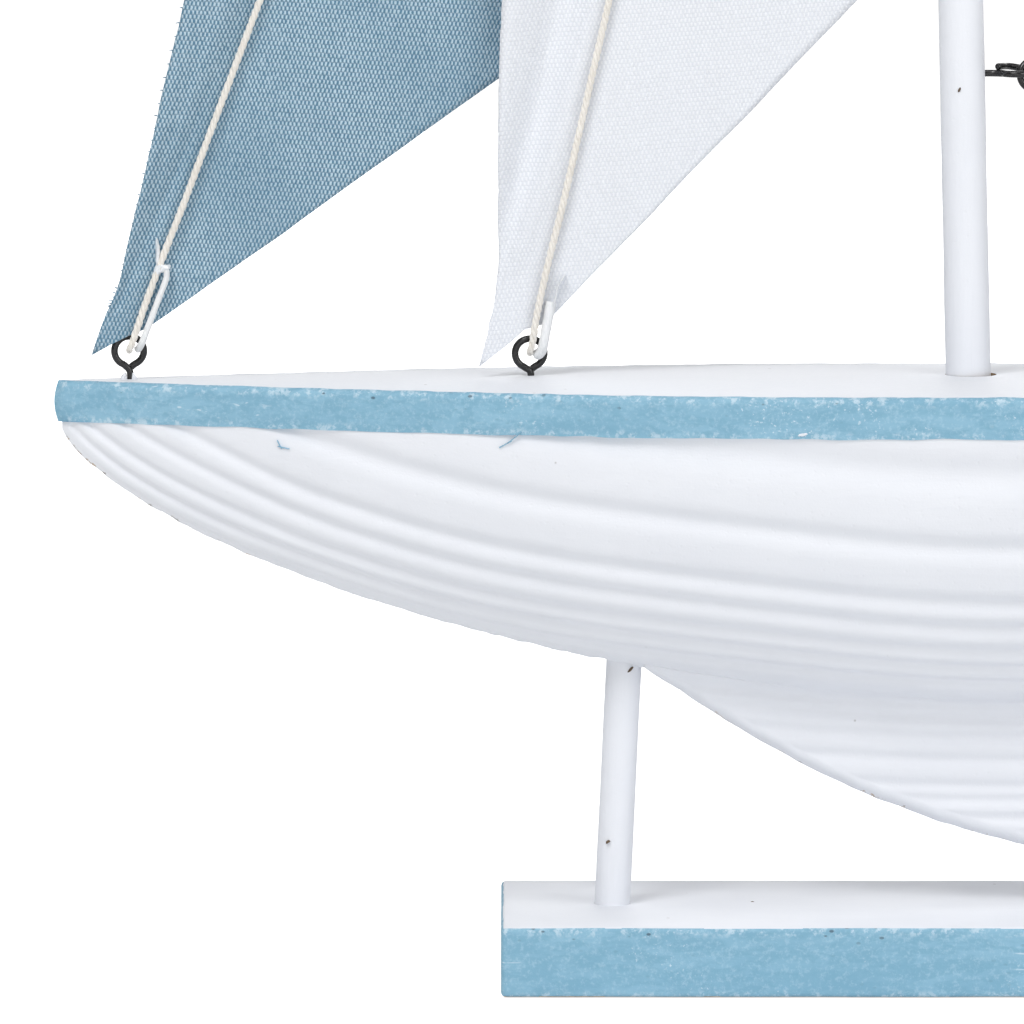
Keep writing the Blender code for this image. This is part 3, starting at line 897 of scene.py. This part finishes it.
def cord_line(low, high, through=False, pulled=0.0):
    """The cord's route between two rings, wavering a little and pulled forward by its knot."""
    along = (high - low).normalized()
    start = cord_end(low, along)
    end = [high + along * 0.0024] if through else cord_end(high, -along)[::-1]
    count = 60
    middle = []
    for i in range(1, count):
        point = start[-1].lerp(end[0], i / count)
        waver = 0.0003 * math.sin(math.pi * i / count) ** 0.5
        reach = (point - low).length / 0.026
        bend = pulled * math.sin(math.pi * reach) if reach < 1 else 0.0
        middle.append(point + Vector((waver * wave(point, 0.05, 50) - bend, 0, 0)))
    return curve_through(start + middle + end, 12)


def lump(centre, size, axis, seed, roughness):
    """A small irregular blob, longer along its axis."""
    work = bmesh.new()
    bmesh.ops.create_icosphere(work, subdivisions=3, radius=1.0)
    turn = Vector(axis).to_track_quat("Z", "Y").to_matrix()
    points = []
    for v in work.verts:
        p = v.co * (1 + roughness * wave(v.co, 0.9, seed) + 0.5 * roughness * wave(v.co, 0.4, seed + 1))
        p = Vector((p.x * size[0], p.y * size[1], p.z * size[2]))
        points.append(Vector(centre) + turn @ p)
    faces = [tuple(v.index for v in f.verts) for f in work.faces]
    work.free()
    return points, faces


# ---- sails

def sail_frame(low, high, swing=0.0):
    """Where a sail's cord starts, and the ways aft, along the cord and out towards port."""
    along = (high - low).normalized()
    aft = Vector((along.z, 0, -along.x)).normalized()
    normal = aft.cross(along)
    turn = Matrix.Rotation(swing, 3, along)
    return low, turn @ aft, along, turn @ normal


def stay_frame(low_eye, high_eye, swing=0.0):
    return sail_frame(RINGS[low_eye] + IN_FRONT, RINGS[high_eye] + IN_FRONT, swing)


def between(line, w):
    """The first number of an outline at height w, from its (u, w) points in rising order."""
    for (u0, w0), (u1, w1) in zip(line, line[1:]):
        if w0 <= w <= w1:
            return u0 + (u1 - u0) * (w - w0) / max(1e-9, w1 - w0)
    return line[-1][0]


def headsail_points(luff, back, rows, columns, place, shape):
    """A grid of points between a headsail's front and back edges, with shape(u, w) set back."""
    origin, aft, along, normal = place
    w_low, w_high = luff[0][1], luff[-1][1]
    heights = [w_low + (w_high - w_low) * i / rows for i in range(rows + 1)]
    for mark in sorted({w for _, w in back if w_low < w < w_high}):
        nearest = min(range(1, rows), key=lambda i: abs(heights[i] - mark))
        heights[nearest] = mark
    points = []
    for i, w in enumerate(heights):
        inside = smooth(0, 3, min(i, rows - i))
        front = between(luff, w) + FRAYED * wave((w, 0, 0), 0.0022, 60) * inside
        rear = between(back, w) + FRAYED * 0.5 * wave((w, 1, 0), 0.0030, 61) * inside
        for j in range(columns + 1):
            u = front + (rear - front) * j / columns
            points.append(origin + aft * u + along * w - normal * (CLOTH_BEHIND + shape(u, w)))
    return points


def cloth_piece(node, points, rows, columns, body, material, place, pins):
    """A cut of cloth that is hung and given its thickness, and its area before that."""
    faces = grid_faces(rows + 1, columns + 1)
    obj = build(node + "_cloth", points, faces, body, [material], [node], sharp=180)
    work = bmesh.new()
    work.from_mesh(obj.data)
    bmesh.ops.remove_doubles(work, verts=work.verts, dist=0.00002)
    work.to_mesh(obj.data)
    work.free()
    hang(obj, pins, place)
    area = sum(face.area for face in obj.data.polygons)
    solid = obj.modifiers.new("thickness", "SOLIDIFY")
    solid.thickness = CLOTH_THICKNESS
    solid.offset = 0.0
    return obj, area


def hang(obj, pins, place):
    """Hangs the cloth from its pinned places under gravity and a light breeze, then keeps it so."""
    origin, aft, along, _ = place
    group = obj.vertex_groups.new(name="pinned")
    for vertex in obj.data.vertices:
        reach = vertex.co - origin
        weight = pins(reach.dot(aft), reach.dot(along))
        if weight > 0:
            group.add([vertex.index], weight, "REPLACE")
    scene = bpy.context.scene
    modifier = obj.modifiers.new("cloth", "CLOTH")
    settings = modifier.settings
    settings.quality = 8
    settings.mass = 0.15
    settings.tension_stiffness = 40
    settings.compression_stiffness = 40
    settings.shear_stiffness = 20
    settings.bending_stiffness = 6.0
    settings.vertex_group_mass = group.name
    settings.time_scale = 0.6
    modifier.collision_settings.use_collision = False
    modifier.point_cache.frame_start = 1
    modifier.point_cache.frame_end = SETTLE_FRAMES
    bpy.ops.object.effector_add(type="WIND", rotation=(-math.pi / 2, 0, 0))
    breeze = bpy.context.object
    breeze.field.strength = BREEZE
    breeze.field.flow = 0.0
    for step in range(1, SETTLE_FRAMES + 1):
        scene.frame_set(step)
    graph = bpy.context.evaluated_depsgraph_get()
    settled = obj.evaluated_get(graph).data
    start = np.zeros(len(obj.data.vertices) * 3)
    end = np.zeros(len(obj.data.vertices) * 3)
    obj.data.vertices.foreach_get("co", start)
    settled.vertices.foreach_get("co", end)
    move = (end - start).reshape(-1, 3)
    facing = np.array(aft.cross(along))
    move = np.outer(move @ facing, facing)
    length = np.abs(move @ facing)[:, None]
    move *= np.minimum(1.0, MOST_BILLOW / np.maximum(length, 1e-9))
    obj.data.vertices.foreach_set("co", (start.reshape(-1, 3) + move).ravel())
    obj.modifiers.remove(modifier)
    obj.vertex_groups.clear()
    bpy.data.objects.remove(breeze)
    scene.frame_set(1)
    obj.data.update()


def bowed(start, end, bow, count):
    """Points from start to end of an edge, bowed out by bow in the middle."""
    made = []
    for i in range(count + 1):
        share = i / count
        u = start[0] + (end[0] - start[0]) * share + bow * math.sin(math.pi * share)
        made.append((u, start[1] + (end[1] - start[1]) * share))
    return made


def luff_line(tack, length, rate, swell):
    line = [tack]
    for i in range(41):
        w = LUFF_START + (length - LUFF_START) * i / 40
        line.append((-(rate + swell * math.sin(math.pi * w / length)), w))
    return line


def pinned_to_cord(low):
    """Cloth weights that hold a headsail along its cord and below the height low."""
    return lambda u, w: smooth(0.0035, 0.0008, abs(u)) or float(w < low)


def make_jib(blue):
    rows, columns = 150, 34
    place = stay_frame("bow_eye", "jib_head_eye", JIB_SWING)
    luff = luff_line((-0.0056, -0.0028), JIB_LENGTH, *JIB_LUFF)
    luff.insert(1, (-0.0059, 0.004))
    back = [(-0.0056, -0.0028), (-0.0031, 0.0001), (-0.0009, 0.0024), (0.0018, 0.0048)]
    back += bowed((0.0514, 0.0782), (0.0012, JIB_LENGTH), -0.003, 12)

    def ripple(u, w):
        return 0.0004 * math.sin(w * 60) * smooth(0.005, 0.03, u)

    points = headsail_points(luff, back, rows, columns, place, ripple)
    jib, area = cloth_piece("jib", points, rows, columns, "jib", blue, place,
                            pinned_to_cord(0.004))


def make_staysail(white):
    rows, columns = 130, 36
    place = stay_frame("fore_deck_eye", "staysail_head_eye")
    luff = luff_line((-0.0080, -0.0040), STAYSAIL_LENGTH, 0.005, 0.0187)
    luff[1] = (-0.0078, 0.0065)
    back = [(-0.0080, -0.0040), (-0.0042, 0.0006), (-0.0018, 0.0038), (0.0014, 0.0055)]
    back += bowed((0.0462, 0.0792), (0.0012, STAYSAIL_LENGTH), -0.002, 10)
    crease = 0.0096

    def folded(u, w):
        tack = smooth(0.0, -0.004, u) * max(0.0, crease - w) * 0.16
        ridge = 0.00025 * smooth(0.0012, 0.0, abs(w - crease)) * smooth(0.0, -0.002, u)
        return -tack - ridge + 0.0003 * math.sin(w * 70) * smooth(0.004, 0.03, u)

    points = headsail_points(luff, back, rows, columns, place, folded)
    staysail, area = cloth_piece("staysail", points, rows, columns, "staysail", white,
                                 place, pinned_to_cord(0.012))


def make_mainsail(white):
    """The mainsail's rows run from its luff to its leech, level with the foot."""
    low, high = RINGS["boom_end_eye"] + IN_FRONT, RINGS["mainsail_head_eye"]
    place = sail_frame(low, high)
    origin, aft, along, normal = place

    def on_sail(x, z):
        reach = Vector((x, low.y, z)) - low
        return Vector((reach.dot(aft), reach.dot(along), 0))

    foot_z = BOOM_Z + BOOM_RADIUS + 0.0030
    tack, head = on_sail(0.0130, foot_z), on_sail(0.0035, high.z - 0.012)
    top = (high - low).length - 0.012
    leech = [on_sail(0.0985, foot_z + 0.0030)]
    leech += [Vector((u, w, 0)) for u, w in bowed((0.0025, 0.012), (0.0020, top), 0.006, 12)]
    leech = even_steps(leech, (leech[-1] - leech[0]).length / 110)
    rows, columns = len(leech) - 1, 40
    points = []
    for i, rear in enumerate(leech):
        front = tack.lerp(head, i / rows)
        for j in range(columns + 1):
            p = front.lerp(rear, j / columns)
            p.x += 0.0001 * wave((p.x, p.y, 3), 0.002, 62) if j in (0, columns) else 0.0
            points.append(origin + aft * p.x + along * p.y - normal * CLOTH_BEHIND)
    mainsail, area = cloth_piece("mainsail", points, rows, columns, BOOM_BODY, white,
                                 place, lambda u, w: smooth(0.0045, 0.001, abs(u)))


# ---- the whole boat

def make_wood():
    hull_white = white_paint("hull_white_paint", wear=True)
    plain_white = white_paint("white_paint")
    dowel_white = white_paint("dowel_white_paint", "Z")
    band = blue_paint("band_blue_paint", DECK_EDGE_Z, BOARD_BOTTOM_Z, white_inside=True)
    edge = blue_paint("base_blue_paint", 0.012, 0.0)
    wood = raw_wood("raw_wood")
    make_hull(hull_white)
    make_keel(hull_white)
    make_deck(band, wood)
    make_base(edge, plain_white, wood)
    front, rear = post_line(-1), post_line(1)
    nicks = ((0.235, -1.75, 0.0006, 0.00025), (0.80, -1.25, 0.0005, 0.0002))
    dowel("front_post_dowel", *front, POST_RADIUS, HULL_BODY, dowel_white, nicks, ["front_post"])
    dowel("rear_post_dowel", *rear, POST_RADIUS, HULL_BODY, dowel_white, (), ["rear_post"], seed=1)
    nicks = ((0.187, -1.5, 0.0007, 0.0003), (0.156, -1.1, 0.0005, 0.00015))
    dowel("mast_dowel", mast_point(MAST_STEP_Z), mast_point(MAST_TOP_Z), MAST_RADIUS, HULL_BODY,
          dowel_white, nicks, ["mast"], sides=96, seed=2)
    dowel("boom_dowel", (BOOM_X[0], 0, BOOM_Z), (BOOM_X[1], 0, BOOM_Z), BOOM_RADIUS, BOOM_BODY,
          plain_white, (), ["boom"], seed=3)


def make_cords():
    string = cotton("cotton_cord", (0.87, 0.84, 0.79), (0.76, 0.715, 0.645))
    runs = (
        ("jib_stay", "bow_eye", "jib_head_eye", False, HULL_BODY, CORD_PULL),
        ("staysail_stay", "fore_deck_eye", "staysail_head_eye", False, HULL_BODY, 0.0003),
        ("leech_cord", "boom_end_eye", "mainsail_head_eye", True, BOOM_BODY, 0.0),
    )
    for seed, (node, low, high, through, body, pulled) in enumerate(runs):
        line = cord_line(RINGS[low], RINGS[high], through, pulled)
        points, faces = twisted(line, CORD_RADIUS, CORD_PITCH, 3 * seed)
        build(node + "_string", points, faces, body, [string], [node], sharp=180)


def make_ties():
    """The cords' glued tails: back up beside the cord from each deck ring to a blob of glue."""
    glue = dried_glue()
    stiff = cotton("glued_cotton", (0.86, 0.87, 0.88), (0.76, 0.78, 0.80))
    at, aft, along, normal = stay_frame("bow_eye", "jib_head_eye")

    def spot(u, w, out=0.0):
        return at + aft * u + along * w + normal * out

    tail = curve_through([
        spot(0.0013, 0.0008, -0.0014), spot(0.0015, 0.0016, -0.0004), spot(0.0016, 0.0028, 0.0002),
        spot(0.0016, 0.0060, 0.0002), spot(0.0016, 0.0100, 0.0002), spot(0.0016, 0.0140, 0.0003),
        spot(0.0011, 0.0155, 0.0005),
    ], 8)
    radii = [0.00060 - 0.00012 * i / len(tail) + 0.00008 * wave(p, 0.002, 70)
             for i, p in enumerate(tail)]
    build_parts("jib_tie_tail", [tube(tail, radii, 10)], HULL_BODY, stiff)
    parts = [
        lump(spot(-0.0002, 0.0152, -0.0002), (0.0010, 0.0006, 0.0016), along, 71, 0.35),
        lump(spot(-0.0013, 0.0176, -0.0003), (0.0011, 0.0004, 0.0022), along - aft * 0.4, 72, 0.4),
        lump(spot(0.0008, 0.0156, 0.0001), (0.0009, 0.0006, 0.0011), aft + along, 73, 0.35),
    ]
    build_parts("jib_tie_knot", parts, HULL_BODY, glue)

    at, aft, along, normal = stay_frame("fore_deck_eye", "staysail_head_eye")
    tail = curve_through([
        spot(0.0012, 0.0000, -0.0014), spot(0.0018, 0.0008, -0.0006), spot(0.0019, 0.0024, 0.0000),
        spot(0.0018, 0.0050, -0.0002), spot(0.0017, 0.0080, -0.0005), spot(0.0016, 0.0095, -0.0007),
    ], 8)
    radii = [0.00088 + 0.00010 * wave(p, 0.002, 74) for p in tail]
    build_parts("staysail_tie_tail", [tube(tail, radii, 10)], HULL_BODY, stiff)
    parts = [
        lump(spot(0.0022, 0.0108, -0.00055), (0.0014, 0.00020, 0.0024), along, 75, 0.22),
        lump(spot(0.0026, 0.0136, -0.00060), (0.0015, 0.00018, 0.0013), along + aft * 0.3, 76, 0.3),
    ]
    build_parts("staysail_tie_glue", parts, "staysail", glue)


def on_hull(x, z, out=0.0):
    breadth, _ = hull_section(x, (DECK_EDGE_Z - z) / (DECK_EDGE_Z - hull_bottom(x)))
    return Vector((x, -breadth - out, z))


def make_marks():
    """Small accidents of a hand-painted boat: drips of blue, a white chip and bare-wood nicks."""
    blue = blue_paint("blue_drips", 1.0, -1.0)
    drips = (
        ((-0.1221, 0.0922), (-0.1206, 0.0919), 0.00020), ((-0.1223, 0.0930), (-0.1219, 0.0922), 0.00028),
        ((-0.0846, 0.0932), (-0.0829, 0.0942), 0.00016), ((-0.0831, 0.0941), (-0.0812, 0.0957), 0.00026),
    )
    parts = []
    for seed, (start, end, size) in enumerate(drips):
        a, b = on_hull(*start), on_hull(*end)
        for k in range(5):
            parts.append(lump(a.lerp(b, k / 4), (size, 0.0001, size * 1.6), b - a, 80 + seed, 0.3))
    build_parts("blue_drips", parts, HULL_BODY, blue)
    chip = white_paint("white_chip_paint")
    at = Vector((-0.0337, -half_beam(-0.0337) + 0.0002, 0.0961))
    parts = [lump(at, (0.0003, 0.00025, 0.0008), (1, 0, 0.2), 85, 0.4)]
    build_parts("band_chip", parts, HULL_BODY, chip)
    bare = raw_wood("bare_wood", 0.30)
    bare_spots = (
        ((-0.0662, -0.0030, 0.0231), (0.0005, 0.0002, 0.0004), (1, 0, 0.6)),
        ((-0.0624, -0.0029, 0.0528), (0.0003, 0.0002, 0.0007), (1, 0, 1)),
        ((-0.0413, 0.0018, 0.0119), (0.0004, 0.0002, 0.0004), (1, 0, 0)),
        ((-0.00660, -0.0038, 0.1522), (0.00025, 0.0002, 0.00045), (0.4, 0, 1)),
        ((-0.0349, -0.0030, keel_edge(-0.0349) + 0.0022), (0.0003, 0.0002, 0.0015), (1, 0, -0.5)),
    )
    parts = [lump(at, size, way, 90 + i, 0.4) for i, (at, size, way) in enumerate(bare_spots)]
    build_parts("wood_nicks", parts, HULL_BODY, bare)
    parts = [lump(BOW_EYE + Vector((s * 0.0009, -0.0003, 0.0000)), (0.0006, 0.0005, 0.0008),
                  (-s * 0.4, 0, 1), 95 + s, 0.4) for s in (-1, 1)]
    build_parts("bow_eye_crumbs", parts, HULL_BODY, chip)


def make_fringe(blue):
    """Loose yarn ends along the lower part of the jib's front edge."""
    origin, aft, along, normal = stay_frame("bow_eye", "jib_head_eye", JIB_SWING)
    ahead, swell = JIB_LUFF
    threads = 90
    parts = []
    for i in range(threads):
        w = 0.006 + 0.26 * (i / threads) ** 1.6
        u = -(ahead + swell * math.sin(math.pi * w / JIB_LENGTH)) if w > LUFF_START else -0.0059
        root = origin + aft * (u + 0.0004) + along * w - normal * CLOTH_BEHIND
        reach = 0.0006 + 0.0004 * wave((w, 0, 0), 0.0009, 63)
        droop = along * (0.5 * wave((w, 0, 0), 0.0013, 64) - 0.2)
        tip = root + (droop - aft + normal * 0.2 * wave((w, 0, 0), 0.001, 65)).normalized() * reach
        middle = root.lerp(tip, 0.5) + along * 0.00008
        parts.append(tube([root, middle, tip], [0.00012, 0.00011, 0.00006], 5))
    build_parts("jib_fringe", parts, "jib", blue)


def make_stage():
    """A white floor, soft light from above and both sides, and the camera."""
    floor_look = Look("studio_floor", Roughness=0.9)
    floor_look.colour((0.9, 0.9, 0.9))
    floor_look.shader.inputs["Emission Color"].default_value = (1, 1, 1, 1)
    seen = floor_look.node("LightPath").outputs["Is Camera Ray"]
    glow = floor_look.plus(floor_look.times(seen, 0.75), 0.04)
    floor_look.put(floor_look.shader.inputs["Emission Strength"], glow)
    mesh = bpy.data.meshes.new("studio_floor")
    corners = ((-1, -1), (1, -1), (1, 1), (-1, 1))
    mesh.from_pydata([(12.0 * x, 12.0 * y, -0.0002) for x, y in corners], [], [(0, 1, 2, 3)])
    mesh.materials.append(floor_look.material)
    floor = bpy.data.objects.new("studio_floor", mesh)
    bpy.context.scene.collection.objects.link(floor)

    world = bpy.data.worlds.new("studio")
    world.use_nodes = True
    sky = world.node_tree.nodes["Background"].inputs
    sky["Color"].default_value = (1, 1, 1, 1)
    sky["Strength"].default_value = 0.33
    bpy.context.scene.world = world
    aim = Vector((0, 0, 0.13))
    lights = (
        ("key_softbox", (-0.9, -1.4, 1.9), 0.9, 25),
        ("fill_softbox", (1.3, -1.4, 0.9), 1.2, 12),
        ("top_softbox", (0.1, -0.5, 1.9), 0.8, 4.5),
        ("back_softbox", (0.4, 1.6, 0.7), 1.6, 11),
        ("low_softbox", (-0.3, -2.2, 0.3), 1.2, 6),
    )
    for name, spot, size, power in lights:
        light = bpy.data.lights.new(name, "AREA")
        light.shape = "SQUARE"
        light.size = size
        light.energy = power
        obj = bpy.data.objects.new(name, light)
        obj.location = spot
        obj.rotation_euler = (aim - Vector(spot)).to_track_quat("-Z", "Y").to_euler()
        bpy.context.scene.collection.objects.link(obj)

    camera_data = bpy.data.cameras.new("camera")
    camera_data.sensor_width = 36
    camera_data.lens = 365.6
    camera_data.clip_end = 100
    camera = bpy.data.objects.new("camera", camera_data)
    camera.location = (-0.08262, -1.768, 0.274516)
    camera.rotation_euler = (math.pi / 2 - math.radians(6.29), 0, 0)
    bpy.context.scene.collection.objects.link(camera)
    bpy.context.scene.camera = camera
    bpy.context.scene.view_settings.view_transform = "Standard"


make_stage()
make_wood()
make_eye_screws(black_wire())
make_cords()
make_ties()
blue_cloth = cloth("blue_cloth", (0.500, 0.640, 0.735), (0.085, 0.200, 0.300),
                   (0.035, 0.090, 0.150), math.radians(-6.6), math.radians(4.0), 0.00010)
white_cloth = cloth("white_cloth", (0.815, 0.835, 0.872), (0.690, 0.715, 0.767),
                    (0.53, 0.56, 0.61), math.radians(1.6), math.radians(-4.6), 0.00006)
make_jib(blue_cloth)
make_staysail(white_cloth)
make_mainsail(white_cloth)
make_fringe(blue_cloth)
make_marks()
